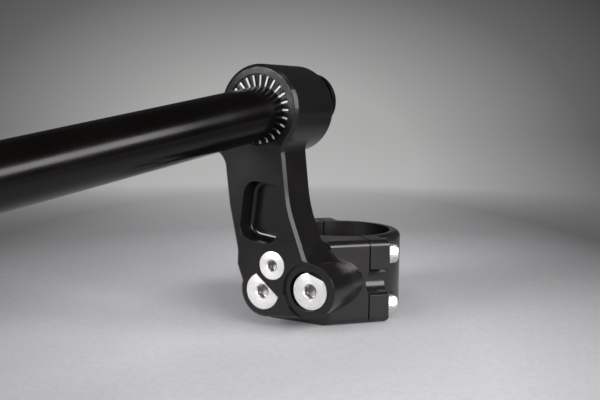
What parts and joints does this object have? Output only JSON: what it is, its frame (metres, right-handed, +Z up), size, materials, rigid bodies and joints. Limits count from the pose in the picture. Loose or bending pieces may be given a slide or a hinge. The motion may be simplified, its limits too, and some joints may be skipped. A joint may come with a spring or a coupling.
{
  "type": "clip-on handlebar",
  "caption": "Adjustable motorcycle clip-on: split fork clamp, riser arm with graduated bush, and a slanted straight bar",
  "frame": {"origin": "on the fork tube's axis, at half the clamp's height", "axes": "+Z up the fork tube, -Y outwards along the boss towards the bar, +X forwards"},
  "size_m": [0.1006, 0.3433, 0.1108],
  "materials": {
    "clamp": "black anodised, satin",
    "arm": "black anodised, satin",
    "bush": "black anodised, turned",
    "bar": "black anodised, satin",
    "plug": "plain turned",
    "paint": "white paint",
    "clamp_screw": "zinc-plated",
    "arm_screw": "zinc-plated",
    "hidden_steel": "zinc-plated"
  },
  "bodies": {
    "bracket": {"clamp_body": "clamp", "clamp_cap": "clamp", "front_upper_clamp_screw": "clamp_screw", "front_lower_clamp_screw": "clamp_screw", "rear_upper_clamp_screw": "clamp_screw", "rear_lower_clamp_screw": "clamp_screw", "riser_arm": "arm", "tilt_screw": "arm_screw", "flat_sided_screw": "arm_screw", "lock_screw": "arm_screw", "front_pinch_bolt": "hidden_steel", "rear_pinch_bolt": "hidden_steel"},
    "bar": {"angle_bush": "bush", "graduation_marks": "paint", "bar_tube": "bar", "bar_plug": "plug", "draw_bolt": "hidden_steel", "draw_washer": "hidden_steel"}
  },
  "joints": [
    {"name": "bar_turn", "type": "hinge", "parent": "bracket", "child": "bar", "pos_m": [-0.0104, -0.0402, 0.0739], "axis": [0, -1, 0], "continuous": true}
  ]
}
